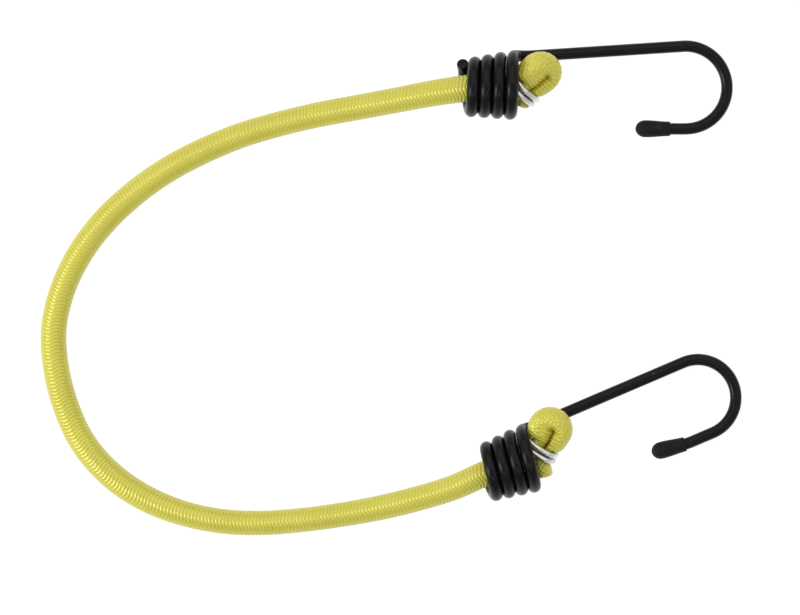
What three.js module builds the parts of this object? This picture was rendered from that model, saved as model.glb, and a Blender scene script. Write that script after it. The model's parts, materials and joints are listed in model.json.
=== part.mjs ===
// Bungee cord with a coiled wire hook on each end, lying in an open bow on a level surface.
// Millimetres, +Z up. The origin is on that surface, midway between the two hook ends.
import * as THREE from "three";

// Cord: a braided sheath round a bundle of square rubber strands
const CORD_D = 8;
const CORD_SIDES = 12;
const CORD_STEPS = 24;
const SHEATH_WALL = 0.8;
const CORE_CLEARANCE = 0.3; // between the sheath and the rubber inside it
const FOLD_CORE_CLEARANCE = 0.5; // the same where the cord is folded
const STRAND_GAP = 0.2;
const END_GAP = 0.3; // between the free cord and the folded stop

// Hook wire and its coil, which opens towards the hook
const WIRE_D = 3.6;
const WIRE_SIDES = 8;
const COIL_TURNS = 4;
const COIL_TURN_GAP = 0.4;
const COIL_CLEARANCE = 1.2; // between the cord and the narrow end of the coil
const COIL_FLARE = 1.95; // growth of the radius over all turns
const COIL_EXIT = 0.03; // part of a turn, where the wire starts to leave the coil
const COIL_EXIT_PULL = 3.2;
const COIL_LOWEST = 0.75; // turns from the coil's mouth to the lowest point of its largest turn
const LOOP_STEPS = 24;
const SHANK_LEAD = 6.5; // from the coil's mouth to the straight shank
const SHANK_SINK = 3; // below the axis
const SHANK_PULL = 3.6;
const BEND_STEPS = 13; // odd, so that one flat lies square across the middle of the bend

// Tip cap: a blind sleeve that swells towards its rounded end
const CAP_BORE_DEPTH = 8.2;
const CAP_END_WALL = 2.5;
const CAP_RIM_WALL = 0.4;
const CAP_WALL = 0.75;
const CAP_DOME = 3;
const CAP_CLEARANCE = 0.1;
const CAP_END_GAP = 0.4;

// Folded stop: the cord squeezed by the clip into two flat legs, with a fuller loop and a cut tail
const LEG_T = 3.7;
const LEG_W = 6.2;
const LEG_GAP = 0.5;
const LEG_MARGIN = 0.5; // leg beyond the clip
const LOOP_T = 6.1;
const LOOP_W = 8.4;
const LOOP_HOLE_R = 0.8;
const LOOP_SPAN = 100; // degrees of loop each way from its far side
const TAIL_T = 4.6;
const TAIL_W = 6.4;
const TAIL_NECK = 0.4;
const TAIL_LEG_CUT = 0.5; // the second leg is this much shorter
const FOLD_SIDES = 10;

// Clip: galvanised wire wound round both legs
const CLIP_WIRE_D = 1.6;
const CLIP_SIDES = 6;
const CLIP_TURNS = 2;
const CLIP_TURN_GAP = 0.5;
const CLIP_GAP = 0.3; // between the wire and the legs
const CLIP_CROWN = 0.2; // more room above and below the legs

// Each end: where the coil's mouth is and which way its axis points, in plan and degrees.
// Hook: turns of the coil, the shank's angle to the coil's axis and its place outside the coil's mouth,
// shank, throat, leg, how far the tip turns towards the shank, and from that turn to the cap's rim.
// Fold: its turn, pitch and roll, how deep the clip sits in the coil's mouth and how far to one side,
// the fold's height over the shank, the neck and lean of its loop, and its tail, from the end of the leg.
// Cord: points along the coil's axis, across it and above it.
const UPPER = {
  name: "upper", at: [-27.3, 57.1], turn: 3,
  tailTurns: 3.91, shankAngle: 0.8, shankOut: -0.22, shank: 47.4,
  throat: 22, leg: 1.2, tipTurn: 4, capFrom: 4.7,
  foldTurn: 43, foldPitch: 12, foldRoll: 36, nest: 2.7, side: -1.7, lift: -0.87, neck: 4, lean: 0,
  tail: [[-0.4, -0.8, -0.2]], entryPull: 3.6, clipPull: 3.2,
  cord: [[-9, -0.2, 0], [-12, -0.2, 0], [-15, -0.3, -0.3]],
};
const LOWER = {
  name: "lower", at: [-22.3, -58.4], turn: 19.3,
  tailTurns: 3.7, shankAngle: 3.8, shankOut: -0.05, shank: 49,
  throat: 20, leg: 8.4, tipTurn: 8.5, capFrom: 1,
  foldTurn: 42, foldPitch: 18, foldRoll: 0, nest: 1.25, side: 1.7, lift: 0.23, neck: 3.5, lean: 0.4,
  tail: [[-0.65, -2.49, 0], [-0.6, -3.55, -0.1], [-0.4, -4.65, -0.15]], entryPull: 2.8, clipPull: 2.6,
  cord: [[-5.5, 0, 0], [-10, 0, 0], [-15, 0, -0.3]],
};

// Where the free cord runs between the coils: x, y and the height of its underside
const ROUTE = [
  [-51.3, 54.7, 4.6], [-63.6, 52.4, 2.8], [-75.6, 50.2, 1.3], [-87.9, 47.9, 0.4], [-100, 45, 0.08],
  [-111.9, 41.4, 0], [-123.3, 36.6, 0], [-134.2, 30.8, 0], [-144.3, 23.6, 0], [-153.4, 15.1, 0],
  [-160.9, 5.2, 0], [-166.3, -5.9, 0], [-169.1, -18, 0], [-168.4, -30.4, 0], [-165.3, -42.4, 0],
  [-160, -53.6, 0], [-151.9, -63, 0], [-141.7, -70.2, 0], [-130.3, -75, 0], [-118.2, -77.7, 0],
  [-105.8, -78.4, 0], [-93.5, -77.6, 0.08], [-81.2, -76, 0.4], [-68.9, -73.8, 1.3], [-56.9, -70.9, 2.8],
  [-45, -67.2, 4.6],
];

const deg = Math.PI / 180;
const vec = (x, y, z) => new THREE.Vector3(x, y, z);
const UP = vec(0, 0, 1);
const wireR = WIRE_D / 2;
const cordR = CORD_D / 2;
const coilPitch = WIRE_D + COIL_TURN_GAP;
const tailR = cordR + COIL_CLEARANCE + wireR;
const coilR = (t) => tailR + COIL_FLARE * (1 - t / COIL_TURNS);
// The largest turn's underside and the cord's lowest flat both lie on the surface
const wireFlat = wireR * Math.cos(Math.PI / WIRE_SIDES);
const axisHeight = coilR(COIL_LOWEST) + wireFlat;
const cordHeight = cordR * Math.cos(Math.PI / CORD_SIDES);

// Clip round the two legs: its own half sizes to the wire's middle, and the half length of the legs under it
const clipPitch = CLIP_WIRE_D + CLIP_TURN_GAP;
const clipHalf = (CLIP_TURNS * clipPitch + CLIP_WIRE_D) / 2;
const clipA = LEG_T + LEG_GAP / 2 + CLIP_GAP + CLIP_WIRE_D / 2;
const clipB = LEG_W / 2 + CLIP_GAP + CLIP_WIRE_D / 2 + CLIP_CROWN;
const legHalf = clipHalf + LEG_MARGIN;
const legY = (LEG_T + LEG_GAP) / 2;
const loopR = LOOP_T / 2 + LOOP_HOLE_R;

// Regular section with a flat side facing each way along its own axes
function polygon(r, sides) {
  const angle = (k) => (k + 0.5) * 2 * Math.PI / sides;
  const corner = (k) => new THREE.Vector2(r * Math.cos(angle(k)), r * Math.sin(angle(k)));
  return Array.from({ length: sides }, (_, k) => corner(k));
}

// Curve made of given points, each with the direction that the section's first axis keeps to
class GuidedPath extends THREE.Curve {
  constructor() {
    super();
    this.points = [];
    this.frames = { tangents: [], normals: [], binormals: [] };
  }
  put(point, tangent, side) {
    const t = tangent.clone().normalize();
    const n = side.clone().addScaledVector(t, -side.dot(t)).normalize();
    this.points.push(point);
    this.frames.tangents.push(t);
    this.frames.normals.push(n);
    this.frames.binormals.push(t.clone().cross(n));
  }
  getSpacedPoints() {
    return this.points;
  }
  computeFrenetFrames() {
    return this.frames;
  }
}

function along(path, shape) {
  const steps = path.points.length - 1;
  return new THREE.ExtrudeGeometry(shape, { steps, extrudePath: path, bevelEnabled: false });
}

function wire(path, diameter, sides) {
  return along(path, new THREE.Shape(polygon(diameter / 2, sides)));
}

// Closed body through rings of equal count. With inner rings it is a tube, open at both ends.
function skin(outer, inner) {
  const count = outer[0].length;
  const last = outer.length - 1;
  const position = [];
  const tri = (...corners) => corners.forEach((c) => position.push(...c.toArray()));
  const quad = (a, b, c, d) => {
    tri(a, b, c);
    tri(a, c, d);
  };
  for (let k = 0; k < count; k++) {
    const n = (k + 1) % count;
    for (let i = 0; i < last; i++) {
      quad(outer[i][k], outer[i][n], outer[i + 1][n], outer[i + 1][k]);
      if (inner) quad(inner[i][k], inner[i + 1][k], inner[i + 1][n], inner[i][n]);
    }
    if (inner) {
      quad(outer[0][n], outer[0][k], inner[0][k], inner[0][n]);
      quad(outer[last][k], outer[last][n], inner[last][n], inner[last][k]);
    } else if (k > 0 && n > 0) {
      tri(outer[0][0], outer[0][n], outer[0][k]);
      tri(outer[last][0], outer[last][k], outer[last][n]);
    }
  }
  const geometry = new THREE.BufferGeometry();
  geometry.setAttribute("position", new THREE.Float32BufferAttribute(position, 3));
  geometry.computeVertexNormals();
  return geometry;
}

function mesh(name, geometry, look) {
  const m = new THREE.Mesh(geometry, new THREE.MeshStandardMaterial(look));
  m.name = name;
  return m;
}

const YELLOW = { color: 0xd3c64e, roughness: 0.6, metalness: 0 };
const LATEX = { color: 0xb9a578, roughness: 0.8, metalness: 0 };
const BLACK_COAT = { color: 0x141514, roughness: 0.35, metalness: 0.1 };
const VINYL = { color: 0x1d201e, roughness: 0.75, metalness: 0 };
const ZINC = { color: 0xb9bdc0, roughness: 0.3, metalness: 0.9 };

// Least distance between stretches of one wire that lie further apart along it than four diameters
function leastGap(points, diameter) {
  let least = Infinity;
  points.forEach((p, i) => {
    let run = 0;
    for (let j = i + 1; j < points.length; j++) {
      run += points[j].distanceTo(points[j - 1]);
      if (run > 4 * diameter) least = Math.min(least, p.distanceTo(points[j]) - diameter);
    }
  });
  return least.toFixed(2);
}

// Shank's direction, sloping so that the underside of the bend reaches the surface
function shankDirection(end, bendR) {
  const reach = end.shank + bendR + wireR * Math.sin(Math.PI / WIRE_SIDES);
  const fall = axisHeight - SHANK_SINK;
  const slope = Math.asin(fall / Math.hypot(reach, wireFlat)) - Math.atan2(wireFlat, reach);
  const level = vec(Math.cos(end.shankAngle * deg), Math.sin(end.shankAngle * deg), 0);
  return level.multiplyScalar(Math.cos(slope)).setZ(-Math.sin(slope));
}

// Hook wire: straight tail, coil wound back towards the cord, shank, bend and tip leg
function hookWire(end) {
  const path = new GuidedPath();
  const radial = (t) => vec(0, Math.cos(2 * Math.PI * t), Math.sin(2 * Math.PI * t));
  const coil = (t) => radial(t).multiplyScalar(coilR(t)).setX(coilPitch * (0.25 - t));
  const coilDir = (t) => coil(t - 1e-4).sub(coil(t + 1e-4)).normalize();
  const turns = end.tailTurns - COIL_EXIT;
  const steps = Math.round(turns * LOOP_STEPS);
  const tailDir = coilDir(end.tailTurns);
  path.put(coil(end.tailTurns).addScaledVector(tailDir, -WIRE_D), tailDir, radial(end.tailTurns));
  for (let i = 0; i <= steps; i++) {
    const t = end.tailTurns - (turns * i) / steps;
    path.put(coil(t), coilDir(t), radial(t));
  }
  // The shank leaves the coil by a short bend
  const bendR = (end.throat + WIRE_D) / 2;
  const d = shankDirection(end, bendR);
  const inward = vec(d.y, -d.x, 0).normalize();
  const outward = inward.clone().negate();
  const start = vec(SHANK_LEAD, coilR(0) + end.shankOut, -SHANK_SINK);
  const from = coil(COIL_EXIT);
  const leaving = from.clone().addScaledVector(coilDir(COIL_EXIT), COIL_EXIT_PULL);
  const arriving = start.clone().addScaledVector(d, -SHANK_PULL);
  const exit = new THREE.CubicBezierCurve3(from, leaving, arriving, start);
  for (let i = 1; i <= 6; i++) {
    path.put(exit.getPoint(i / 6), exit.getTangent(i / 6), radial(COIL_EXIT).lerp(outward, i / 6));
  }
  console.log(`${end.name} hook: least gap of the coil to itself ${leastGap(path.points, WIRE_D)} mm`);
  const bendStart = start.clone().addScaledVector(d, end.shank);
  for (const f of [0.5, 1]) path.put(start.clone().lerp(bendStart, f), d, outward);
  const centre = bendStart.clone().addScaledVector(inward, bendR);
  for (let i = 1; i <= BEND_STEPS; i++) {
    const a = (Math.PI * i) / BEND_STEPS;
    const side = outward.clone().multiplyScalar(Math.cos(a)).addScaledVector(d, Math.sin(a));
    const dir = inward.clone().multiplyScalar(Math.sin(a)).addScaledVector(d, Math.cos(a));
    path.put(centre.clone().addScaledVector(side, bendR), dir, side);
  }
  const legEnd = path.points.at(-1).clone().addScaledVector(d, -end.leg);
  const tipDir = (a) => d.clone().negate().applyAxisAngle(outward.clone().cross(d), a * deg);
  const tip = tipDir(end.tipTurn);
  const rim = legEnd.clone().addScaledVector(tip, end.capFrom);
  path.put(legEnd, tipDir(end.tipTurn / 2), inward);
  path.put(rim.clone().addScaledVector(tip, CAP_BORE_DEPTH - CAP_END_GAP), tip, inward);
  return { geometry: wire(path, WIRE_D, WIRE_SIDES), rim, tip };
}

function tipCap(hook) {
  const bore = wireR + CAP_CLEARANCE;
  const belly = bore + CAP_WALL;
  const length = CAP_BORE_DEPTH + CAP_END_WALL;
  const dome = [0, 22.5, 45, 67.5].map((a) => [
    belly * Math.cos(a * deg), length - CAP_DOME + CAP_DOME * Math.sin(a * deg),
  ]);
  const profile = [
    [0, CAP_BORE_DEPTH], [bore, CAP_BORE_DEPTH], [bore, 0], [bore + CAP_RIM_WALL, 0], ...dome, [0, length],
  ];
  const geometry = new THREE.LatheGeometry(profile.map(([r, y]) => new THREE.Vector2(r, y)), 16);
  const turn = new THREE.Quaternion().setFromUnitVectors(vec(0, 1, 0), hook.tip);
  return geometry.applyMatrix4(new THREE.Matrix4().compose(hook.rim, turn, vec(1, 1, 1)));
}

// Frame of the fold: origin in the middle of the clip, x towards the loop, y from the tail to the cord's leg
function foldFrame(end) {
  const turn = new THREE.Quaternion().setFromEuler(
    new THREE.Euler(end.foldRoll * deg, -end.foldPitch * deg, end.foldTurn * deg, "ZYX"));
  const clipReach = clipA + CLIP_WIRE_D / 2;
  const rear = clipHalf * Math.cos(end.foldTurn * deg) + clipReach * Math.sin(end.foldTurn * deg);
  const rise = (legHalf + end.neck) * Math.sin(end.foldPitch * deg);
  const middle = vec(rear - end.nest, end.side, wireR - SHANK_SINK + end.lift + LOOP_W / 2 - rise);
  return new THREE.Matrix4().compose(middle, turn, vec(1, 1, 1));
}

// Sections of the fold: out of the coil, through the clip, round the loop, back through the clip to the tail
function foldRings(end) {
  const frame = foldFrame(end);
  const x = vec(1, 0, 0).transformDirection(frame);
  const up = UP.clone().transformDirection(frame);
  const leg = [LEG_T / 2, LEG_W / 2];
  const loop = [LOOP_T / 2, LOOP_W / 2];
  const between = leg.map((half, i) => (half + loop[i]) / 2);
  const sections = [];
  const put = (p, [a, b], t) => sections.push({ p, a, b, t });
  const inFold = (px, py, half, t) => put(vec(px, py, 0).applyMatrix4(frame), half, t);
  // The cord bends out of the coil's mouth and flattens as it enters the clip
  const start = vec(...end.cord[0]).add(vec(END_GAP, 0, 0));
  const clipMouth = vec(-legHalf, legY, 0).applyMatrix4(frame);
  const leaving = start.clone().add(vec(end.entryPull, 0, 0));
  const arriving = clipMouth.clone().addScaledVector(x, -end.clipPull);
  const entry = new THREE.CubicBezierCurve3(start, leaving, arriving, clipMouth);
  for (const f of [0, 0.22, 0.42, 0.62, 0.82]) {
    put(entry.getPoint(f), leg.map((half) => THREE.MathUtils.lerp(cordR, half, f * f)), entry.getTangent(f));
  }
  const loopX = legHalf + end.neck;
  const shoulderX = (legHalf + loopX + loopR * Math.cos(LOOP_SPAN * deg)) / 2;
  const shoulderY = (loopR * Math.sin(LOOP_SPAN * deg) + legY) / 2;
  const back = x.clone().negate();
  for (const f of [-1, 0, 1]) inFold(f * legHalf, legY, leg, x);
  inFold(shoulderX, shoulderY + end.lean / 2, between);
  for (let a = LOOP_SPAN; a >= -LOOP_SPAN; a -= LOOP_SPAN / 4) {
    inFold(loopX + loopR * Math.cos(a * deg), end.lean + loopR * Math.sin(a * deg), loop);
  }
  inFold(shoulderX, end.lean / 2 - shoulderY, between);
  for (const px of [legHalf, 0, TAIL_LEG_CUT - legHalf]) inFold(px, -legY, leg, back);
  const legEnd = sections.at(-1).p;
  end.tail.forEach((offset, i) => {
    const half = [TAIL_T / 2 - (i ? 0 : TAIL_NECK), TAIL_W / 2];
    put(legEnd.clone().add(vec(...offset)), half);
  });
  const curve = new THREE.CatmullRomCurve3(sections.map((s) => s.p), false, "centripetal");
  const ring = ({ p, a, b, t }, i, shrink) => {
    const ahead = t ?? curve.getTangent(i / (sections.length - 1));
    const high = up.clone().addScaledVector(ahead, -up.dot(ahead)).normalize();
    const wide = high.clone().cross(ahead);
    return polygon(1, FOLD_SIDES).map(
      (c) => p.clone().addScaledVector(wide, (a - shrink) * c.x).addScaledVector(high, (b - shrink) * c.y));
  };
  return (shrink) => sections.map((section, i) => ring(section, i, shrink));
}

// Clip: wound round both legs, squarish, with its two ends on the underside
function clipWire(end) {
  const frame = foldFrame(end);
  const squarish = (v) => Math.sign(v) * Math.abs(v) ** 0.8;
  const middle = (f) => vec((0.5 - f) * clipPitch * CLIP_TURNS, 0, 0).applyMatrix4(frame);
  const at = (f) => {
    const a = (270 + f * CLIP_TURNS * 360) * deg;
    const across = vec(0, clipA * squarish(Math.cos(a)), clipB * squarish(Math.sin(a)));
    return across.setX((0.5 - f) * clipPitch * CLIP_TURNS).applyMatrix4(frame);
  };
  const dir = (f) => at(f + 1e-4).sub(at(f - 1e-4)).normalize();
  const path = new GuidedPath();
  const put = (f, further) => path.put(at(f).addScaledVector(dir(f), further), dir(f), at(f).sub(middle(f)));
  const steps = CLIP_TURNS * LOOP_STEPS;
  put(0, -CLIP_WIRE_D);
  for (let i = 0; i <= steps; i++) put(i / steps, 0);
  put(1, CLIP_WIRE_D);
  console.log(`${end.name} clip: least gap to itself ${leastGap(path.points, CLIP_WIRE_D)} mm`);
  return wire(path, CLIP_WIRE_D, CLIP_SIDES);
}

function endGroup(end) {
  const group = new THREE.Group();
  group.name = `${end.name}_end`;
  group.position.set(...end.at, axisHeight);
  group.rotation.z = end.turn * deg;
  const hook = hookWire(end);
  const rings = foldRings(end);
  group.add(
    mesh(`${end.name}_hook`, hook.geometry, BLACK_COAT),
    mesh(`${end.name}_tip_cap`, tipCap(hook), VINYL),
    mesh(`${end.name}_fold_sheath`, skin(rings(0), rings(SHEATH_WALL)), YELLOW),
    mesh(`${end.name}_fold_core`, skin(rings(SHEATH_WALL + FOLD_CORE_CLEARANCE)), LATEX),
    mesh(`${end.name}_clip`, clipWire(end), ZINC),
  );
  return group;
}

// Free cord: level frames keep one flat of the sheath on the surface
function cordPath() {
  const inCoil = (end) => end.cord.map(
    (p) => vec(...p).applyAxisAngle(UP, end.turn * deg).add(vec(...end.at, axisHeight)));
  const onSurface = ROUTE.map(([x, y, lift]) => vec(x, y, cordHeight + lift));
  const curve = new THREE.CatmullRomCurve3(
    [...inCoil(UPPER), ...onSurface, ...inCoil(LOWER).reverse()], false, "centripetal");
  console.log(`free cord: ${curve.getLength().toFixed(1)} mm along its middle`);
  const path = new GuidedPath();
  curve.getSpacedPoints(CORD_STEPS).forEach((p, i) => {
    const t = curve.getTangentAt(i / CORD_STEPS);
    path.put(p, t, UP.clone().cross(t));
  });
  return path;
}

const part = new THREE.Group();
part.name = "bungee_cord";
const path = cordPath();
const boreR = cordR - SHEATH_WALL;
const sheath = new THREE.Shape(polygon(cordR, CORD_SIDES));
sheath.holes.push(new THREE.Path(polygon(boreR, CORD_SIDES)));
part.add(mesh("cord_sheath", along(path, sheath), YELLOW));

// Twelve square strands, in four rows of four without the corners, as large as the sheath's bore holds
const coreR = boreR * Math.cos(Math.PI / CORD_SIDES) - CORE_CLEARANCE;
const strandSide = (Math.sqrt(20 * coreR ** 2 - STRAND_GAP ** 2) - 7 * STRAND_GAP) / 10;
const strandPitch = strandSide + STRAND_GAP;
const square = new THREE.Shape(polygon(strandSide / Math.SQRT2, 4)).getPoints();
let count = 0;
for (const row of [-1.5, -0.5, 0.5, 1.5]) {
  for (const column of [-1.5, -0.5, 0.5, 1.5]) {
    if (Math.abs(row) > 1 && Math.abs(column) > 1) continue;
    const place = new THREE.Vector2(column * strandPitch, row * strandPitch);
    const strand = new THREE.Shape(square.map((corner) => corner.clone().add(place)));
    count += 1;
    part.add(mesh(`core_strand_${String(count).padStart(2, "0")}`, along(path, strand), LATEX));
  }
}
part.add(endGroup(UPPER), endGroup(LOWER));

export default part;
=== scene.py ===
import bisect
import json
import math

import bmesh
import bpy
from mathutils import Matrix, Vector


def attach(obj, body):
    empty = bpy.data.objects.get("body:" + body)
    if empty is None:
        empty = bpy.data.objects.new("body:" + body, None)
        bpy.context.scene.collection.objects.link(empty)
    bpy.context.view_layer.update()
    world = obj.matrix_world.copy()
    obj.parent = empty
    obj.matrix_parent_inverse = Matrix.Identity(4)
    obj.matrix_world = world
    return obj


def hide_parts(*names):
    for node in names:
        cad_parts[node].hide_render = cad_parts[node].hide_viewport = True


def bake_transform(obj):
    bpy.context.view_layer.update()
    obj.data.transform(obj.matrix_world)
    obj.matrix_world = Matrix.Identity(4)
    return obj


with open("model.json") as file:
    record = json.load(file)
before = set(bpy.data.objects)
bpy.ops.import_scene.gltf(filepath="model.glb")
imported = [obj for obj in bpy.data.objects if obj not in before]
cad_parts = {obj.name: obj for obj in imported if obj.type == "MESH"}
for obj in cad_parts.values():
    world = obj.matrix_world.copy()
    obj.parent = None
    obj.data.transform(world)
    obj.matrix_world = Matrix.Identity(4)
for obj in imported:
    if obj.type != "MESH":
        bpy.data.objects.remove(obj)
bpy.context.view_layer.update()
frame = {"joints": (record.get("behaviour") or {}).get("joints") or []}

# Camera: straight above the laid-out cord, with +Y up in the picture.
# The frame covers 248 mm of the surface across its width.
FRAME_WIDTH = 0.248
SENSOR_WIDTH = 36.0
CAMERA_HEIGHT = 4.0
VIEW_CENTRE = (-0.0619, -0.01165)

camera_data = bpy.data.cameras.new("camera")
camera_data.sensor_width = SENSOR_WIDTH
camera_data.lens = SENSOR_WIDTH * CAMERA_HEIGHT / FRAME_WIDTH
camera = bpy.data.objects.new("camera", camera_data)
camera.location = (*VIEW_CENTRE, CAMERA_HEIGHT)
bpy.context.scene.collection.objects.link(camera)
bpy.context.scene.camera = camera

# Braided sheath of the free cord: yellow synthetic yarn, braided as a tube round the rubber at rest, so that
# the yarns crowd into ribs across the cord and lean to and fro in columns along it.
# It is made as two halves.
UP = Vector((0, 0, 1))
CORD_RADIUS = 0.004
RIB_PITCH = 0.0011
RIB_DEPTH = 0.00012
RIB_POWER = 0.8
ROWS_PER_RIB = 6
SHEATH_SIDES = 72
SEAM_TURN = 0.25
COLUMNS = 8
COLUMN_LEAN = 0.0008
COLUMN_START = -0.93
COLUMN_DRIFT = 0.857
COLUMN_TUCK = 0.4
SWELLS = (1.06, 1.0, 0.985, 1.01, 1.025, 1.0, 1.03, 1.05, 0.97, 0.95, 0.99, 1.01)
BLEND_REACH = 0.012
PATH_POINTS = 60
YARN_DULL = (0.47, 0.432, 0.045, 1)
YARN_BRIGHT = (0.535, 0.492, 0.06, 1)
# Painted shade: the yarn's colour in the grooves between its ribs.
YARN_GROOVE_SHADE = (0.45, 0.405, 0.038, 1)
# Painted shade, brown, for a deep crease and between a clip's turns; the singed tail's own brown is the same
# colour.
YARN_SHADE_AND_SINGE = (0.3, 0.15, 0.012, 1)
YARN_GLOSS = (1, 0.95, 0.36, 1)

# Where the cord runs inside each coil, along the coil's axis, across it and above it,
# and between the coils, with the height of its underside
CORD_IN_COIL = {
    "upper": [(-0.009, -0.0002, 0), (-0.012, -0.0002, 0), (-0.015, -0.0003, -0.0003)],
    "lower": [(-0.0055, 0, 0), (-0.01, 0, 0), (-0.015, 0, -0.0003)],
}
ROUTE = [
    (-0.0513, 0.0547, 0.0046), (-0.0636, 0.0524, 0.0028), (-0.0756, 0.0502, 0.0013),
    (-0.0879, 0.0479, 0.0004), (-0.1, 0.045, 0.00008), (-0.1119, 0.0414, 0), (-0.1233, 0.0366, 0),
    (-0.1342, 0.0308, 0), (-0.1443, 0.0236, 0), (-0.1534, 0.0151, 0), (-0.1609, 0.0052, 0),
    (-0.1663, -0.0059, 0), (-0.1691, -0.018, 0), (-0.1684, -0.0304, 0), (-0.1653, -0.0424, 0),
    (-0.16, -0.0536, 0), (-0.1519, -0.063, 0), (-0.1417, -0.0702, 0), (-0.1303, -0.075, 0),
    (-0.1182, -0.0777, 0), (-0.1058, -0.0784, 0), (-0.0935, -0.0776, 0.00008), (-0.0812, -0.076, 0.0004),
    (-0.0689, -0.0738, 0.0013), (-0.0569, -0.0709, 0.0028), (-0.045, -0.0672, 0.0046),
]


def end_frame(name):
    """Frame of one end's coil: x along its axis towards the hook, from the swivel's own place."""
    swivel = next(j for j in frame["joints"] if j["name"] == f"{name}_swivel")
    turn = math.atan2(swivel["axis"][1], swivel["axis"][0])
    return Matrix.Translation(swivel["pos_m"]) @ Matrix.Rotation(turn, 4, "Z")


def smooth(points, steps=24):
    """Points close together on a centripetal Catmull-Rom curve through the given ones."""
    through = [Vector(p) for p in points]
    through = [2 * through[0] - through[1], *through, 2 * through[-1] - through[-2]]
    curve = []
    for p0, p1, p2, p3 in zip(through, through[1:], through[2:], through[3:]):
        k1 = (p1 - p0).length ** 0.5
        k2 = k1 + (p2 - p1).length ** 0.5
        k3 = k2 + (p3 - p2).length ** 0.5
        for i in range(steps + 1):
            t = k1 + (k2 - k1) * i / steps
            a, b = p0.lerp(p1, t / k1), p1.lerp(p2, (t - k1) / (k2 - k1))
            c = p2.lerp(p3, (t - k2) / (k3 - k2))
            near, far = a.lerp(b, t / k2), b.lerp(c, (t - k1) / (k3 - k1))
            if i or not curve:
                curve.append(near.lerp(far, (t - k1) / (k2 - k1)))
    return curve


class Line:
    """A line through points, read by the distance along it. Numbers after the first three are sizes."""

    def __init__(self, points):
        self.points = points
        self.distance = [0.0]
        for a, b in zip(points, points[1:]):
            self.distance.append(self.distance[-1] + (b - a).to_3d().length)
        self.length = self.distance[-1]

    def read(self, distance):
        i = min(max(bisect.bisect(self.distance, distance), 1), len(self.points) - 1)
        start, end = self.distance[i - 1], self.distance[i]
        share = min(max((distance - start) / (end - start), 0), 1)
        return self.points[i - 1].lerp(self.points[i], share)

    def ahead(self, distance, reach=0.0004):
        low, high = max(distance - reach, 0), min(distance + reach, self.length)
        return (self.read(high) - self.read(low)).to_3d().normalized()


def tube(rows, sides, place):
    """Flat grid wrapped into a tube: place(row, turn) gives a corner and its relief with painted shade, which
    is 1 on a crest, 0 in a groove darkened by painted shade and -1 where painted shade is deepest, in a
    crease or between a clip's turns, or where the tail is singed. The grid's own row and turn stay as the UV
    map."""
    bm = bmesh.new()
    bmesh.ops.create_grid(bm, x_segments=rows, y_segments=sides, size=1)
    uv = bm.loops.layers.uv.new("cloth")
    relief_and_shade = bm.verts.layers.float.new("relief_and_shade")
    for face in bm.faces:
        for loop in face.loops:
            flat = loop.vert.co
            loop[uv].uv = ((flat.x + 1) / 2 * rows, (flat.y + 1) / 2)
        face.smooth = True
    seam = [v for v in bm.verts if abs(v.co.y) > 0.9999]
    for v in bm.verts:
        v.co, v[relief_and_shade] = place((v.co.x + 1) / 2 * rows, (v.co.y + 1) / 2)
    bmesh.ops.remove_doubles(bm, verts=seam, dist=1e-7)
    return bm


def close_ends(bm):
    """Flat faces over both open ends of a tube."""
    rims = [e for e in bm.edges if e.is_boundary]
    return bmesh.ops.holes_fill(bm, edges=rims, sides=0)["faces"]


def new_piece(name, bm, material):
    """Object made of a finished bmesh, with its material in a slot."""
    mesh = bpy.data.meshes.new(name)
    bm.to_mesh(mesh)
    bm.free()
    mesh.materials.append(material)
    piece = bpy.data.objects.new(name, mesh)
    bpy.context.scene.collection.objects.link(piece)
    return piece


class Value:
    """A shader socket that takes part in Python arithmetic. Each operation adds a Math node."""

    def __init__(self, tree, socket=None):
        self.tree = tree
        self.socket = socket

    def node(self, kind, settings=None, inputs=None, output=0):
        made = self.tree.nodes.new("ShaderNode" + kind)
        for name, setting in (settings or {}).items():
            setattr(made, name, setting)
        for name, given in (inputs or {}).items():
            if isinstance(given, Value):
                self.tree.links.new(given.socket, made.inputs[name])
            else:
                made.inputs[name].default_value = given
        return Value(self.tree, made.outputs[output])

    def math(self, operation, other):
        return self.node("Math", {"operation": operation}, {0: self, 1: other})

    def __add__(self, other):
        return self.math("ADD", other)

    def __mul__(self, other):
        return self.math("MULTIPLY", other)

    __radd__ = __add__
    __rmul__ = __mul__

    def steps(self, low, high):
        """0 below low, 1 above high and smooth between."""
        span = {"Value": self, "From Min": low, "From Max": high}
        return self.node("MapRange", {"interpolation_type": "SMOOTHSTEP"}, span)

    def mix(self, low, high):
        """Colour between low, where this value is 0, and high, where it is 1."""
        return self.node("Mix", {"data_type": "RGBA"}, {0: self, 6: low, 7: high}, 2)


def new_material(name, **constants):
    """Material with its shader's constant sockets set, and a Value to start its expressions from."""
    material = bpy.data.materials.new(name)
    material.use_nodes = True
    shader = material.node_tree.nodes["Principled BSDF"]
    for socket, constant in constants.items():
        shader.inputs[socket.replace("_", " ")].default_value = constant
    return material, Value(material.node_tree)


def dress(material, **looks):
    """Links what changes over the surface to the shader."""
    tree = material.node_tree
    for socket, value in looks.items():
        tree.links.new(value.socket, tree.nodes["Principled BSDF"].inputs[socket.replace("_", " ")])


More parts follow.
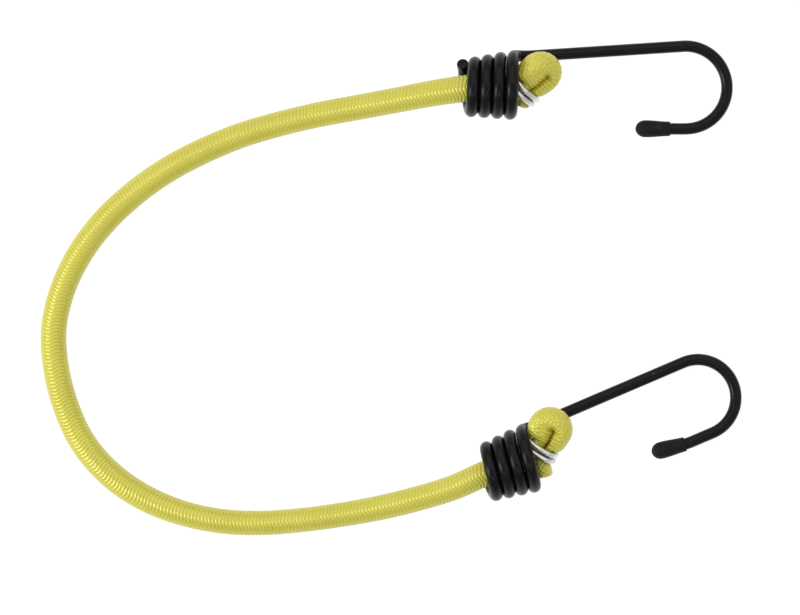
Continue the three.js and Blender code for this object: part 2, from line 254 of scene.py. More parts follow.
def yarn_material():
    """Satin yarn with fine filaments and uneven dye: painted shade darkens its grooves, and deeper painted
    shade turns it brown in a crease and between a clip's turns; its singed tip is brown too.
    """
    material, start = new_material(
        "yellow_yarn", IOR=1.75, Specular_IOR_Level=1.0, Specular_Tint=YARN_GLOSS)
    relief_and_shade = start.node("Attribute", {"attribute_name": "relief_and_shade"}, output=2)
    cloth = start.node("UVMap", {"uv_map": "cloth"})
    stretched = start.node("Mapping", {}, {"Vector": cloth, "Scale": (2.2, 14.0, 1.0)})
    filaments = start.node("TexNoise", {}, {"Vector": stretched, "Scale": 3.0, "Detail": 3.0})
    place = start.node("TexCoord", {}, output=3)
    patches = start.node("TexNoise", {}, {"Vector": place, "Scale": 90.0, "Detail": 2.0})
    dye = (patches * 0.5 + filaments * 0.5).steps(0.3, 0.7)
    crest = dye.mix(YARN_DULL, YARN_BRIGHT)
    groove_shaded = relief_and_shade.steps(0.0, 0.5).mix(YARN_GROOVE_SHADE, crest)
    colour = relief_and_shade.steps(-1.0, 0.0).mix(YARN_SHADE_AND_SINGE, groove_shaded)
    fine = start.node("Bump", {}, {"Height": filaments, "Strength": 0.2, "Distance": 0.00006})
    bump = start.node("Bump", {}, {"Height": relief_and_shade, "Strength": 1.0, "Distance": 0.00008, "Normal": fine})
    dress(material, Base_Color=colour, Roughness=0.27 + 0.12 * filaments, Normal=bump)
    return material


yarn = yarn_material()
route = [end_frame("upper") @ Vector(p) for p in CORD_IN_COIL["upper"]]
route += [Vector((x, y, CORD_RADIUS + lift)) for x, y, lift in ROUTE]
route += [end_frame("lower") @ Vector(p) for p in reversed(CORD_IN_COIL["lower"])]
cord = Line(smooth(route))
half_rows = round(cord.length / 2 / RIB_PITCH) * ROWS_PER_RIB


def crossing(direction):
    """Level and upright directions across a line that runs this way."""
    side = UP.cross(direction).normalized()
    return side, direction.cross(side)


def rib(row):
    """Height of a rib over its groove, from 0 to 1, at a row of the grid."""
    return abs(math.sin(math.pi * row / ROWS_PER_RIB)) ** RIB_POWER


def swell(share):
    """The cord's own unevenness: its radius at a share of its length, over the usual radius."""
    place = min(share, 0.9999) * (len(SWELLS) - 1)
    low = int(place)
    ease = (1 - math.cos(math.pi * (place - low))) / 2
    return SWELLS[low] * (1 - ease) + SWELLS[low + 1] * ease


def sheath_half(name, first_row):
    """Half of the sheath, from a row of the whole cord's grid."""

    def place(row, turn):
        share = (first_row + row) / (2 * half_rows)
        column = turn * COLUMNS + COLUMN_START + COLUMN_DRIFT * share
        lean = COLUMN_LEAN * (0.5 - abs(column % 2 - 1))
        distance = min(max(share * cord.length + lean, 0), cord.length)
        tuck = 1 - COLUMN_TUCK + COLUMN_TUCK * abs(math.sin(math.pi * column)) ** 0.5
        # The rib's height also paints shade into the yarn's colour, darker towards its groove.
        height = rib(row) * tuck
        side, high = crossing(cord.ahead(distance))
        angle = -2 * math.pi * (turn + SEAM_TURN)
        radius = CORD_RADIUS * swell(share) - RIB_DEPTH * (1 - height)
        out = side * math.cos(angle) + high * math.sin(angle)
        return cord.read(distance) + out * radius, height

    bm = tube(half_rows, SHEATH_SIDES, place)
    for end_face in close_ends(bm):
        for edge in end_face.edges:
            edge.smooth = False
    return new_piece(name, bm, yarn)


middle = cord.read(cord.length / 2)
cord_halves = {
    "upper": sheath_half("upper_cord_sheath", 0),
    "lower": sheath_half("lower_cord_sheath", half_rows),
}


def stretch(piece, end):
    """Bakes the piece's placement into its mesh; the point near the coil is worked out but nothing uses it.
    """
    near_coil = cord.read(BLEND_REACH if end == "upper" else cord.length - BLEND_REACH)
    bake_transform(piece)


for end, piece in cord_halves.items():
    stretch(piece, end)
    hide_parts("cord_sheath")

# Rubber core of the free cord: twelve square-cut latex strands side by side in the sheath.
# The sheath holds them, and they run from one folded end to the other.
STRAND_SIDE = 0.0011
STRAND_PITCH = 0.0013
STRAND_POWER = 0.4
STRANDS_ACROSS = 4
STRAND_ROWS = 80
STRAND_SIDES = 8
STRAND_NODES = [f"core_strand_{n:02d}" for n in range(1, 13)]
LATEX = (0.45, 0.34, 0.17, 1)
LATEX_DUST = (0.62, 0.54, 0.38, 1)


def latex_material():
    """Natural latex: dull amber, dusted with talc where the strands rub."""
    material, start = new_material("latex", Subsurface_Weight=0.1)
    place = start.node("TexCoord", {}, output=3)
    dust = start.node("TexNoise", {}, {"Vector": place, "Scale": 700.0, "Detail": 4.0}).steps(0.4, 0.7)
    bump = start.node("Bump", {}, {"Height": dust, "Strength": 0.2, "Distance": 0.0001})
    dress(material, Base_Color=dust.mix(LATEX, LATEX_DUST), Roughness=0.7 + 0.2 * dust, Normal=bump)
    return material


latex = latex_material()


def rounded(angle, power):
    """Point on a unit circle whose corners fill out as the power falls below 1."""
    x, y = math.cos(angle), math.sin(angle)
    return math.copysign(abs(x) ** power, x), math.copysign(abs(y) ** power, y)


def core_half(name, first_share):
    """Half of the bundle, from a share of the cord's length: a square of strands without its corners."""
    rank = [n - (STRANDS_ACROSS - 1) / 2 for n in range(STRANDS_ACROSS)]
    joined = bmesh.new()
    for across, above in [(a, b) for a in rank for b in rank]:
        if abs(across) == abs(above) == rank[-1]:
            continue

        def place(row, turn):
            distance = (first_share + 0.5 * row / STRAND_ROWS) * cord.length
            side, high = crossing(cord.ahead(distance))
            x, y = rounded(-2 * math.pi * turn, STRAND_POWER)
            out = side * (across * STRAND_PITCH + x * STRAND_SIDE / 2)
            return cord.read(distance) + out + high * (above * STRAND_PITCH + y * STRAND_SIDE / 2), 1

        strand = tube(STRAND_ROWS, STRAND_SIDES, place)
        close_ends(strand)
        mesh = bpy.data.meshes.new("strand")
        strand.to_mesh(mesh)
        strand.free()
        joined.from_mesh(mesh)
        bpy.data.meshes.remove(mesh)
    return new_piece(name, joined, latex)


for end, first_share in (("upper", 0), ("lower", 0.5)):
    core = core_half(f"{end}_cord_core", first_share)
    stretch(core, end)
    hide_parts(*STRAND_NODES)
    shares = [first_share + 0.5 * i / PATH_POINTS for i in range(PATH_POINTS + 1)]
    path = [cord.read(share * cord.length) for share in shares]
    if end == "lower":
        path.reverse()

# Folded stops: each end of the cord comes out of the coil's mouth, passes the clip, doubles back on itself
# in a tight loop and ends in a short singed tail. The loop is wider than the coil's bore, so the hook can't
# slip off. Inside the loop the sheath gathers into a pucker.
ENTRY_SHARES = (0, 0.22, 0.42, 0.62, 0.82)
LEG_HALF = 0.0034
LEG_OFFSET = 0.0021
LEG_SIZE = (0.002, 0.0032)
LEG_FRONT = (0.0026, 0.0014)
LEG_CLOSING = 0.001
NECK_PLACE = (0.0034, 0.0023)
NECK_SIZE = (0.0033, 0.0038)
SHOULDER = 0.0039
LOOP_RADIUS = 0.00355
LOOP_HALF = 0.0035
LOOP_SPAN = 100
LOOP_STATIONS = 9
TAIL_SIZE = (0.0024, 0.0033)
TAIL_LEG_CUT = 0.0005
TAIL_BLUNT = (0.003, 0.006)
SINGE = ((0.0004, 0.94), (0.00075, 0.76), (0.0009, 0.4))
SINGE_REACH = (0.0001, 0.0007)
SINGE_SHADE = 0.6
FOLD_SIDES = 112
FOLD_ROW = 0.00014
FOLD_SQUARE = 0.35
WALL_HEIGHT = (0.3, 0.7)
WALL_PRESS = 0.1
GATHER_PITCH = 0.0012
GATHER_DEPTH = 0.0004
GATHER_REACH = (0.0016, 0.0036)
GATHER_START = (0.0022, 0.0036)
GATHER_HEIGHT = (0.25, 0.6)
# Painted shade in the gathers' grooves.
GATHER_SHADE = 0.3
FLECK_PITCH = 0.0015
FLECK_DEPTH = 0.00018
FLECK_COLUMNS = 13
# Painted shade between the flecks.
FLECK_SHADE = 0.1
# Painted shadow on the sheath between the clip's turns: its reach and strength.
CLIP_SHADOW_REACH = (0.0006, 0.0012)
CLIP_SHADOW_DEPTH = 0.9
# Painted shade along the crease.
CREASE_REACH = (0.0001, 0.0006)
SLIT_HALF = 0.00001

# Each fold's turns in degrees from the coil's axis, the middle of its clip in the coil's frame,
# its own sizes, and its crease and tail as points
FOLDS = {
    "upper": {
        "turn": 43, "pitch": 12, "roll": 36, "middle": (0.003411, -0.0017, 0.000591),
        "neck": 0.004, "lean": 0.0, "thick": 0.00412, "shoulder": 0.0046, "taper": 1.0,
        "crease": [(-0.0034, 0), (0.0034, -0.0008), (0.0083, -0.0016)], "crease_shade": 0.45,
        "tail": [(-0.0004, -0.0008, -0.0002)],
        "entry_pull": 0.0036, "clip_pull": 0.0032,
    },
    "lower": {
        "turn": 42, "pitch": 18, "roll": 0, "middle": (0.004819, 0.0017, 0.001098),
        "neck": 0.0035, "lean": 0.0004, "thick": 0.0043, "shoulder": 0.004, "taper": 2.0,
        "crease": [(-0.0034, 0), (0.0034, -0.0012), (0.0074, -0.0009)], "crease_shade": 1.0,
        "tail": [(-0.00065, -0.0025, 0), (-0.00085, -0.0036, -0.0001), (-0.00095, -0.0046, -0.00015)],
        "entry_pull": 0.0028, "clip_pull": 0.0026,
    },
}


def turned(axis, degrees):
    return Matrix.Rotation(math.radians(degrees), 4, axis)


def fold_frame(name):
    """Frame of a fold from the middle of its clip: x towards the loop, y from the tail to the cord's leg."""
    fold = FOLDS[name]
    turn = turned("Z", fold["turn"]) @ turned("Y", -fold["pitch"]) @ turned("X", fold["roll"])
    return end_frame(name) @ Matrix.Translation(fold["middle"]) @ turn


def bezier(a, b, c, d, share):
    left, middle_part, right = a.lerp(b, share), b.lerp(c, share), c.lerp(d, share)
    return left.lerp(middle_part, share).lerp(middle_part.lerp(right, share), share)


def fold_line(name):
    """Line of a fold with the half sizes of its section, between the legs and square to that."""
    fold = FOLDS[name]
    to_end, to_fold = end_frame(name), fold_frame(name)
    stations = []

    def put(point, size):
        stations.append(Vector((*point, *size)))

    def in_fold(x, y, size):
        put(to_fold @ Vector((x, y, 0)), size)

    forward = to_end.to_3x3() @ Vector((1, 0, 0))
    along = to_fold.to_3x3() @ Vector((1, 0, 0))
    start = to_end @ Vector(CORD_IN_COIL[name][0])
    clip_mouth = to_fold @ Vector((-LEG_HALF, LEG_OFFSET, 0))
    leaving = start + forward * fold["entry_pull"]
    arriving = clip_mouth - along * fold["clip_pull"]
    for share in ENTRY_SHARES:
        size = [CORD_RADIUS + (half - CORD_RADIUS) * share ** fold["taper"] for half in LEG_SIZE]
        put(bezier(start, leaving, arriving, clip_mouth, share), size)
    loop_x = LEG_HALF + fold["neck"]
    span = math.radians(LOOP_SPAN)
    shoulder_x = (LEG_HALF + loop_x + LOOP_RADIUS * math.cos(span)) / 2
    shoulder_y = (LOOP_RADIUS * math.sin(span) + LEG_OFFSET) / 2
    for x in (-LEG_HALF, 0, LEG_FRONT[0]):
        in_fold(x, LEG_OFFSET, LEG_SIZE)
    in_fold(NECK_PLACE[0], LEG_OFFSET, NECK_SIZE)
    in_fold(shoulder_x, shoulder_y + fold["lean"] / 2, (fold["shoulder"], fold["thick"]))
    for i in range(LOOP_STATIONS):
        angle = span * (1 - 2 * i / (LOOP_STATIONS - 1))
        loop_y = fold["lean"] + LOOP_RADIUS * math.sin(angle)
        in_fold(loop_x + LOOP_RADIUS * math.cos(angle), loop_y, (LOOP_HALF, fold["thick"]))
    in_fold(shoulder_x, fold["lean"] / 2 - shoulder_y, (SHOULDER, fold["thick"]))
    in_fold(NECK_PLACE[1], -LEG_OFFSET, NECK_SIZE)
    for x in (LEG_FRONT[1], 0, TAIL_LEG_CUT - LEG_HALF):
        in_fold(x, -LEG_OFFSET, LEG_SIZE)
    leg_end = stations[-1].to_3d()
    for offset in fold["tail"]:
        put(leg_end + to_end.to_3x3() @ Vector(offset), TAIL_SIZE)
    tail, before = stations[-1].to_3d(), stations[-2].to_3d()
    for further, share in SINGE:
        put(tail + (tail - before).normalized() * further, [half * share for half in TAIL_SIZE])
    return Line(smooth(stations))


def ramp(value, low, high):
    """0 below low, 1 above high and smooth between."""
    share = min(max((value - low) / (high - low), 0), 1)
    return share * share * (3 - 2 * share)


def to_crease(name, local):
    """Level way from a point of a fold to its crease, which runs between the legs to the loop's pucker."""
    crease = FOLDS[name]["crease"]
    x = min(max(local.x, crease[0][0]), crease[-1][0])
    for (low, low_y), (high, high_y) in zip(crease, crease[1:]):
        if x <= high:
            y = low_y + (high_y - low_y) * (x - low) / (high - low)
            return Vector((x - local.x, y - local.y, 0))


def fold_piece(name):
    """Folded sheath: its inner wall meets the other leg's in the crease, where the gathers start. Painted
    shade darkens the crease, the gathers' grooves and the sheath between the clip's turns.
    """
    fold = FOLDS[name]
    line = fold_line(name)
    to_fold = fold_frame(name)
    from_fold = to_fold.inverted()
    up = to_fold.to_3x3() @ UP
    pucker_x = fold["crease"][-1][0]
    rows = round(line.length / FOLD_ROW)
    apex = line.distance[max(
        range(len(line.points)), key=lambda i: (from_fold @ line.points[i].to_3d()).x)]

    def place(row, turn):
        distance = row / rows * line.length
        to_tail = line.length - distance
        angle = -2 * math.pi * (turn + SEAM_TURN)
        station = line.read(distance)
        middle_point = from_fold @ station.to_3d()
        ahead = line.ahead(distance)
        high = (up - ahead * up.dot(ahead)).normalized()
        closed = ramp(middle_point.x, -LEG_HALF - LEG_CLOSING, -LEG_HALF)
        wide = high.cross(ahead) * station[3]
        if math.cos(angle) < 0:
            x, y = rounded(angle, 1 - FOLD_SQUARE * closed)
            wall = 1 - ramp(abs(math.sin(angle)), *WALL_HEIGHT)
            toward = to_fold.to_3x3() @ to_crease(name, middle_point)
            wide = wide.lerp(-toward * (1 + WALL_PRESS * wall), closed)
        else:
            blunt = 1 - ramp(to_tail, *TAIL_BLUNT)
            x, y = rounded(angle, 1 - FOLD_SQUARE * blunt)
        out = wide * x + high * y * station[4]
        local = from_fold @ (station.to_3d() + out)
        near = 1 - ramp(to_crease(name, local).length, *GATHER_REACH)
        near *= ramp(middle_point.x, *GATHER_START)
        gather = near * ramp(abs(math.sin(angle)), *GATHER_HEIGHT)
        ridge = abs(math.sin(math.pi * distance / GATHER_PITCH))
        phase = distance / FLECK_PITCH
        slant = FLECK_COLUMNS * turn
        fleck = abs(math.sin(math.pi * (phase + slant)) * math.sin(math.pi * (phase - slant))) ** 0.5
        depth = GATHER_DEPTH * gather * (1 - ridge) + FLECK_DEPTH * (1 - near) * (1 - fleck)
        local = from_fold @ (station.to_3d() + out * (1 - depth / out.length))
        if -LEG_HALF < local.x < pucker_x:
            slit = local.y + to_crease(name, local).y
            if distance < apex:
                local.y = max(local.y, slit + SLIT_HALF)
            else:
                local.y = min(local.y, slit - SLIT_HALF)
        # Painted shadow on the sheath between the clip's turns, near the clip's middle.
        clip_shadow = 1 - ramp(abs(middle_point.x), *CLIP_SHADOW_REACH)
        # Painted shade along the crease, fading with distance from it.
        shade = (1 - ramp(to_crease(name, local).length, *CREASE_REACH)) * closed * fold["crease_shade"]
        singed = 1 - ramp(to_tail, *SINGE_REACH)
        # The relief falls towards -1 under painted shade and at the singed tail, whose brown is its own.
        shade_and_singe = max(shade, CLIP_SHADOW_DEPTH * clip_shadow, SINGE_SHADE * singed)
        # Painted shade in the gathers' grooves and, faintly, between the flecks, where the relief dips below
        # 0.
        gathered = ridge * (1 + GATHER_SHADE) - GATHER_SHADE
        flecked = fleck * (1 + FLECK_SHADE) - FLECK_SHADE
        height = gathered * gather + (1 - gather) * flecked
        return to_fold @ local, height * (1 - shade_and_singe) - shade_and_singe

    bm = tube(rows, FOLD_SIDES, place)
    close_ends(bm)
    piece = new_piece(f"{name}_folded_sheath", bm, yarn)
    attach(piece, f"{name}_end")
    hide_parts(f"{name}_fold_sheath")


for end in FOLDS:
    fold_piece(end)

# Folded part of the core: the same latex strands, bent round with the sheath and squeezed flat by the clip.
# The sheath holds them, and they end a little short of the tail's singed end.
FOLD_CORE_SHRINK = 0.0013
FOLD_CORE_START = 0.0002
FOLD_CORE_SHORT = 0.0014
FOLD_CORE_LEAST = 0.0003
FOLD_CORE_ROOM = 0.0001
FOLD_CORE_ROWS = 160
FOLD_CORE_SIDES = 48
STRAND_GROOVE = 0.00008
GROOVE_WAVES = 4


def fold_core_piece(name):
    line = fold_line(name)
    up = fold_frame(name).to_3x3() @ UP
    from_fold = fold_frame(name).inverted()

    def place(row, turn):
        distance = FOLD_CORE_START + (line.length - FOLD_CORE_SHORT) * row / FOLD_CORE_ROWS
        station = line.read(distance)
        ahead = line.ahead(distance)
        high = (up - ahead * up.dot(ahead)).normalized()
        angle = -2 * math.pi * turn
        groove = STRAND_GROOVE * (1 - abs(math.cos(GROOVE_WAVES * angle)))
        wide_half = max(station[3] - FOLD_CORE_SHRINK, FOLD_CORE_LEAST) - groove
        if math.cos(angle) < 0:
            room = to_crease(name, from_fold @ station.to_3d()).length - FOLD_CORE_SHRINK
            wide_half = min(wide_half, max(room, FOLD_CORE_ROOM))
        high_half = max(station[4] - FOLD_CORE_SHRINK, FOLD_CORE_LEAST) - groove
        out = high.cross(ahead) * wide_half * math.cos(angle) + high * high_half * math.sin(angle)
        return station.to_3d() + out, 1

    bm = tube(FOLD_CORE_ROWS, FOLD_CORE_SIDES, place)
    close_ends(bm)
    piece = new_piece(f"{name}_folded_core", bm, latex)
    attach(piece, f"{name}_end")
    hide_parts(f"{name}_fold_core")


for end in FOLDS:
    fold_core_piece(end)

# Clips: zinc-coated steel wire wound twice round both legs of a fold and pulled tight.
# Their cut ends lie on the underside.
CLIP_WIRE = 0.0016
CLIP_SIDES = 20
CLIP_TURNS = 2
CLIP_TURN_STEPS = 72
CLIP_PITCH = 0.0021
CLIP_HALF = (0.00505, 0.0044)
CLIP_POWER = 0.8
WIRE_STEP = 0.0004
WIRE_EDGE = 0.08
ZINC = (0.72, 0.73, 0.73, 1)
ZINC_BLOOM = (0.52, 0.53, 0.53, 1)


def wire_tube(points, sides):
    """Round wire along close points that carry its diameter, with cut ends whose edge is broken."""
    line = Line(points)
    rows = round(line.length / WIRE_STEP)
    frames = []
    side = line.ahead(0).orthogonal()
    for row in range(rows + 1):
        distance = line.length * row / rows
        ahead = line.ahead(distance)
        side = (side - ahead * side.dot(ahead)).normalized()
        frames.append((line.read(distance), side, ahead.cross(side)))
    diameter = points[0][3]

    def place(row, turn):
        point, across, above = frames[round(row)]
        angle = -2 * math.pi * turn
        return point.to_3d() + (across * math.cos(angle) + above * math.sin(angle)) * point[3] / 2, 1

    bm = tube(rows, sides, place)
    cuts = close_ends(bm)
    rims = list({edge for cut in cuts for edge in cut.edges})
    bmesh.ops.bevel(
        bm, geom=rims, offset=diameter * WIRE_EDGE, offset_type="OFFSET", affect="EDGES", segments=2,
        profile=0.5, material=-1,
    )
    return bm


def zinc_material():
    """Bright zinc: drawn along the wire, with faint grey bloom and scuffs."""
    material, start = new_material("zinc", Metallic=1.0)
    cloth = start.node("UVMap", {"uv_map": "cloth"})
    drawn = start.node("Mapping", {}, {"Vector": cloth, "Scale": (0.06, 9.0, 1.0)})
    streaks = start.node("TexNoise", {}, {"Vector": drawn, "Scale": 4.0, "Detail": 3.0})
    place = start.node("TexCoord", {}, output=3)
    bloom = start.node("TexNoise", {}, {"Vector": place, "Scale": 900.0, "Detail": 3.0}).steps(0.45, 0.75)
    bump = start.node("Bump", {}, {"Height": streaks, "Strength": 0.2, "Distance": 0.00004})
    roughness = 0.28 + 0.14 * streaks + 0.14 * bloom
    dress(material, Base_Color=bloom.mix(ZINC, ZINC_BLOOM), Roughness=roughness, Normal=bump)
    return material


zinc = zinc_material()


def clip_piece(name):
    to_fold = fold_frame(name)

    def at(share):
        angle = math.radians(270 + share * CLIP_TURNS * 360)
        y, z = rounded(angle, CLIP_POWER)
        return to_fold @ Vector((
            (0.5 - share) * CLIP_PITCH * CLIP_TURNS, CLIP_HALF[0] * y, CLIP_HALF[1] * z))

    steps = CLIP_TURNS * CLIP_TURN_STEPS
    points = [at(i / steps) for i in range(steps + 1)]
    first = points[0] + (points[0] - points[1]).normalized() * CLIP_WIRE
    last = points[-1] + (points[-1] - points[-2]).normalized() * CLIP_WIRE
    bm = wire_tube([Vector((*p, CLIP_WIRE)) for p in (first, *points, last)], CLIP_SIDES)
    piece = new_piece(f"{name}_wire_clip", bm, zinc)
    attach(piece, f"{name}_end")
    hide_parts(f"{name}_clip")


for end in FOLDS:
    clip_piece(end)

# Hooks: one steel wire each, bent to a round hook, with four turns coiled round the cord that open towards
# the hook. The wire is coated black after bending, so the coat runs over its cut end too.
# In the coil the wire is a little thicker than the solid's, so that the turns lie closed.
WIRE = 0.0036
WIRE_SIDES = 28
WIRE_FLAT_TURN = math.pi / 8
COIL_WIRE = 0.00398
COIL_WIRE_START = 8
COIL_WIRE_END = 0.94
COIL_PITCH = 0.004
COIL_TURNS = 4
COIL_TURN_STEPS = 96
COIL_LEAD = 0.25
COIL_RADIUS = 0.007
COIL_FLARE = 0.00195
COIL_EXIT = 0.03
COIL_EXIT_PULL = 0.0032
COIL_EXIT_STEPS = 24
COIL_NUDGE = 0.0001
SHANK_LEAD = 0.0065
SHANK_SINK = 0.003
SHANK_PULL = 0.0036
BEND_STEPS = 60
STUB = 0.003
TIP_EASE = 0.001
TIP_STEPS = 8
CAP_SEAT = 0.0078
HOOKS = {
    "upper": {
        "tail_turns": 3.91, "shank_angle": 0.8, "shank_out": -0.00022, "shank": 0.0474, "throat": 0.022,
        "leg": 0.0012, "tip_turn": 4, "cap_from": 0.0047,
    },
    "lower": {
        "tail_turns": 3.7, "shank_angle": 3.8, "shank_out": -0.00005, "shank": 0.049, "throat": 0.02,
        "leg": 0.0084, "tip_turn": 8.5, "cap_from": 0.001,
    },
}
COAT_DARK = (0.0016, 0.0017, 0.0017, 1)
COAT_PALE = (0.003, 0.0031, 0.003, 1)
COAT_RUBBED = (0.07, 0.068, 0.066, 1)


def black_coat_material():
    """Black coat on steel: semi-gloss, faintly uneven, with a few small rubbed specks."""
    material, start = new_material("black_coat", Specular_IOR_Level=0.17)
    place = start.node("TexCoord", {}, output=3)
    uneven = start.node("TexNoise", {}, {"Vector": place, "Scale": 260.0, "Detail": 3.0})
    peel = start.node("TexNoise", {}, {"Vector": place, "Scale": 1400.0, "Detail": 2.0})
    rubbed = start.node("TexNoise", {}, {"Vector": place, "Scale": 520.0, "Detail": 4.0}).steps(0.735, 0.775)
    coat = uneven.steps(0.3, 0.7).mix(COAT_DARK, COAT_PALE)
    bump = start.node("Bump", {}, {"Height": peel, "Strength": 0.15, "Distance": 0.00005})
    roughness = 0.22 + 0.14 * uneven + 0.12 * rubbed
    dress(material, Base_Color=rubbed.mix(coat, COAT_RUBBED), Roughness=roughness, Normal=bump)
    return material


black_coat = black_coat_material()


def coil_point(turn):
    """Point of the coil in its end's frame, counted in turns back from the hook."""
    radius = COIL_RADIUS + COIL_FLARE * (1 - turn / COIL_TURNS)
    angle = 2 * math.pi * turn
    return Vector((COIL_PITCH * (COIL_LEAD - turn), radius * math.cos(angle), radius * math.sin(angle)))


def coil_direction(turn):
    return (coil_point(turn - COIL_NUDGE) - coil_point(turn + COIL_NUDGE)).normalized()


def shank_direction(hook, bend_radius, axis_height):
    """Sloping so that the underside of the bend reaches the surface."""
    wire_flat = WIRE / 2 * math.cos(WIRE_FLAT_TURN)
    reach = hook["shank"] + bend_radius + WIRE / 2 * math.sin(WIRE_FLAT_TURN)
    fall = axis_height - SHANK_SINK
    slope = math.asin(fall / math.hypot(reach, wire_flat)) - math.atan2(wire_flat, reach)
    angle = math.radians(hook["shank_angle"])
    level = Vector((math.cos(angle), math.sin(angle), 0)) * math.cos(slope)
    return level - UP * math.sin(slope)


def hook_points(name):
    """Close points along a hook's wire, from its tail to its tip, with the cap's rim and direction."""
    hook = HOOKS[name]
    to_end = end_frame(name)
    tail = hook["tail_turns"]
    stub = coil_point(tail) - coil_direction(tail) * STUB
    steps = round((tail - COIL_EXIT) * COIL_TURN_STEPS)
    points = [coil_point(tail + (COIL_EXIT - tail) * i / steps) for i in range(steps + 1)]
    bend_radius = (hook["throat"] + WIRE) / 2
    shank = shank_direction(hook, bend_radius, to_end.translation.z)
    inward = Vector((shank.y, -shank.x, 0)).normalized()
    start = Vector((SHANK_LEAD, COIL_RADIUS + COIL_FLARE + hook["shank_out"], -SHANK_SINK))
    from_coil = points[-1]
    leaving = from_coil + coil_direction(COIL_EXIT) * COIL_EXIT_PULL
    arriving = start - shank * SHANK_PULL
    for i in range(1, COIL_EXIT_STEPS + 1):
        points.append(bezier(from_coil, leaving, arriving, start, i / COIL_EXIT_STEPS))
    bend_start = start + shank * hook["shank"]
    centre = bend_start + inward * bend_radius
    for i in range(BEND_STEPS + 1):
        angle = math.pi * i / BEND_STEPS
        points.append(centre + (shank * math.sin(angle) - inward * math.cos(angle)) * bend_radius)
    leg_end = points[-1] - shank * hook["leg"]
    hinge = -inward.cross(shank)
    tip = Matrix.Rotation(math.radians(hook["tip_turn"]), 3, hinge) @ -shank
    rim = leg_end + tip * hook["cap_from"]
    before, after = leg_end + shank * TIP_EASE, leg_end + tip * TIP_EASE
    for i in range(TIP_STEPS + 1):
        share = i / TIP_STEPS
        points.append(before.lerp(leg_end, share).lerp(leg_end.lerp(after, share), share))
    points.append(rim + tip * CAP_SEAT)
    in_coil = round(steps * COIL_WIRE_END)
    stations = [Vector((*(to_end @ stub), WIRE))]
    for i, point in enumerate(points):
        swelling = ramp(i, 0, COIL_WIRE_START) * (1 - ramp(i, in_coil, steps))
        stations.append(Vector((*(to_end @ point), WIRE + (COIL_WIRE - WIRE) * swelling)))
    return stations, to_end @ rim, to_end.to_3x3() @ tip


for end in HOOKS:
    bm = wire_tube(hook_points(end)[0], WIRE_SIDES)
    piece = new_piece(f"{end}_wire_hook", bm, black_coat)
    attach(piece, f"{end}_hook")
    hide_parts(f"{end}_hook")

# Tip caps: soft dark vinyl, dipped on a former and pushed over the wire's end, open at a thin rim.
# They swell towards a rounded end and have a faint ring where the round end starts.
CAP_BORE = 0.0019
CAP_BORE_DEPTH = 0.0082
CAP_BORE_FLOOR = 0.8
CAP_BORE_CORNER = 0.0004
CAP_LIP = 0.0015
CAP_EDGE = 0.0001
CAP_RIM = 0.00225
CAP_BELLY = 0.00265
CAP_LENGTH = 0.0107
CAP_DOME = 0.0032
CAP_RING_DEPTH = 0.00006
CAP_RING_WIDTH = 0.0002
CAP_OUTLINE_STEPS = 12
CAP_STEPS = 64
VINYL = (0.0055, 0.0072, 0.0062, 1)
VINYL_DUST = (0.0125, 0.015, 0.0133, 1)


def vinyl_material():
    """Dipped vinyl: matt green-black with a soft grain and pale dust in it."""
    material, start = new_material("vinyl", Specular_IOR_Level=0.13)
    place = start.node("TexCoord", {}, output=3)
    grain = start.node("TexNoise", {}, {"Vector": place, "Scale": 2200.0, "Detail": 3.0})
    dust = start.node("TexNoise", {}, {"Vector": place, "Scale": 420.0, "Detail": 3.0}).steps(0.45, 0.8)
    bump = start.node("Bump", {}, {"Height": grain, "Strength": 0.3, "Distance": 0.00006})
    dress(material, Base_Color=dust.mix(VINYL, VINYL_DUST), Roughness=0.5 + 0.2 * grain, Normal=bump)
    return material


vinyl = vinyl_material()


def cap_profile():
    """Half outline from the bottom of the bore, round the rim and along the outside to the tip."""
    profile = [(0, CAP_BORE_DEPTH), (CAP_BORE * CAP_BORE_FLOOR, CAP_BORE_DEPTH)]
    profile += [(CAP_BORE, CAP_BORE_DEPTH - CAP_BORE_CORNER), (CAP_BORE, CAP_LIP)]
    profile += [(CAP_BORE, CAP_EDGE), (CAP_BORE + CAP_EDGE, 0), (CAP_RIM - CAP_EDGE, 0), (CAP_RIM, CAP_EDGE)]
    shoulder = CAP_LENGTH - CAP_DOME
    for i in range(1, CAP_OUTLINE_STEPS + 1):
        share = i / CAP_OUTLINE_STEPS
        swelling = (1 - math.cos(math.pi * share)) / 2
        profile.append((CAP_RIM + (CAP_BELLY - CAP_RIM) * swelling, shoulder * share))
    dome_start = shoulder + CAP_RING_WIDTH
    profile += [(CAP_BELLY - CAP_RING_DEPTH, shoulder + CAP_RING_WIDTH / 2), (CAP_BELLY, dome_start)]
    for i in range(1, CAP_OUTLINE_STEPS):
        angle = math.pi / 2 * i / CAP_OUTLINE_STEPS
        height = (CAP_DOME - CAP_RING_WIDTH) * math.sin(angle)
        profile.append((CAP_BELLY * math.cos(angle), dome_start + height))
    profile.append((0, CAP_LENGTH))
    return profile


def cap_piece(name):
    rim, tip = hook_points(name)[1:]
    bm = bmesh.new()
    outline = [bm.verts.new((r, 0, z)) for r, z in cap_profile()]
    edges = [bm.edges.new(pair) for pair in zip(outline, outline[1:])]
    bmesh.ops.spin(
        bm, geom=outline + edges, axis=UP, cent=(0, 0, 0), steps=CAP_STEPS, angle=2 * math.pi, use_merge=True)
    bmesh.ops.remove_doubles(bm, verts=bm.verts[:], dist=1e-6)
    bmesh.ops.recalc_face_normals(bm, faces=bm.faces[:])
    on_wire = Matrix.Translation(rim) @ tip.to_track_quat("Z", "X").to_matrix().to_4x4()
    bmesh.ops.transform(bm, matrix=on_wire, verts=bm.verts[:])
    for face in bm.faces:
        face.smooth = True
    piece = new_piece(f"{name}_vinyl_cap", bm, vinyl)
    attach(piece, f"{name}_hook")
    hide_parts(f"{name}_tip_cap")


for end in HOOKS:
    cap_piece(end)

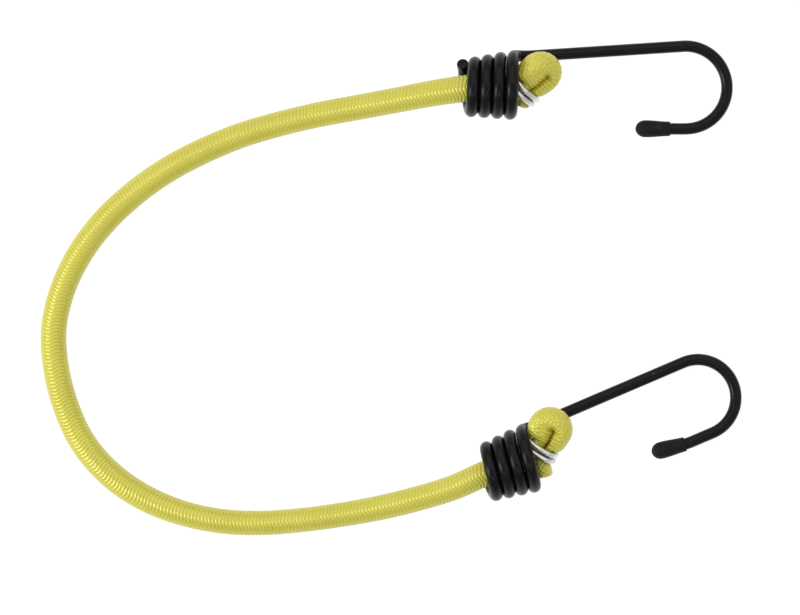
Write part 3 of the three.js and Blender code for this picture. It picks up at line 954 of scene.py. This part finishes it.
# Studio: a white table that glows a little, so that it stays white under the cord, and soft boxes all round.
# The brightest box is a strip low on the left, which gives the yarn its satin band.
FLOOR_HALF = 3.0
FLOOR_GLOW = 0.86
FLOOR_DARK = (0.25, 0.25, 0.25, 1)
FLOOR_PALE = (0.27, 0.27, 0.27, 1)
WHITE = (1, 1, 1, 1)
WORLD_LIGHT = 0.5
BOX_DISTANCE = 1.5
SOFT_BOXES = {
    "left_strip": {"toward": (-0.85, -0.2, 0.5), "size": (0.55, 0.95), "radiance": 7.2},
    "top_box": {"toward": (-0.1, 0.75, 1.0), "size": (2.4, 1.8), "radiance": 0.9},
    "front_strip": {"toward": (0.05, -0.55, 1.0), "size": (1.8, 0.14), "radiance": 3.0},
    "right_box": {"toward": (1.0, 0.1, 0.9), "size": (0.9, 0.9), "radiance": 0.8},
}


def floor_material():
    """White table top, faintly clouded."""
    material, start = new_material(
        "white_table", Specular_IOR_Level=0.2, Emission_Color=WHITE, Emission_Strength=FLOOR_GLOW)
    place = start.node("TexCoord", {}, output=3)
    cloud = start.node("TexNoise", {}, {"Vector": place, "Scale": 2.0, "Detail": 1.0})
    dress(material, Base_Color=cloud.mix(FLOOR_DARK, FLOOR_PALE), Roughness=0.6 + 0.1 * cloud)
    return material


bm = bmesh.new()
bmesh.ops.create_grid(bm, x_segments=4, y_segments=4, size=FLOOR_HALF)
floor_mesh = bpy.data.meshes.new("floor")
bm.to_mesh(floor_mesh)
bm.free()
floor_mesh.materials.append(floor_material())
floor = bpy.data.objects.new("floor", floor_mesh)
bpy.context.scene.collection.objects.link(floor)

for name, box in SOFT_BOXES.items():
    light = bpy.data.lights.new(name, "AREA")
    light.shape = "RECTANGLE"
    light.size, light.size_y = box["size"]
    light.energy = box["radiance"] * math.pi * light.size * light.size_y
    lamp = bpy.data.objects.new(name, light)
    toward = Vector(box["toward"]).normalized()
    lamp.location = Vector((*VIEW_CENTRE, 0)) + toward * BOX_DISTANCE
    lamp.rotation_euler = toward.to_track_quat("Z", "Y").to_euler()
    bpy.context.scene.collection.objects.link(lamp)

world = bpy.data.worlds.new("studio")
world.use_nodes = True
world.node_tree.nodes["Background"].inputs["Strength"].default_value = WORLD_LIGHT
world.node_tree.nodes["Background"].inputs["Color"].default_value = WHITE
bpy.context.scene.world = world
bpy.context.scene.view_settings.view_transform = "Standard"
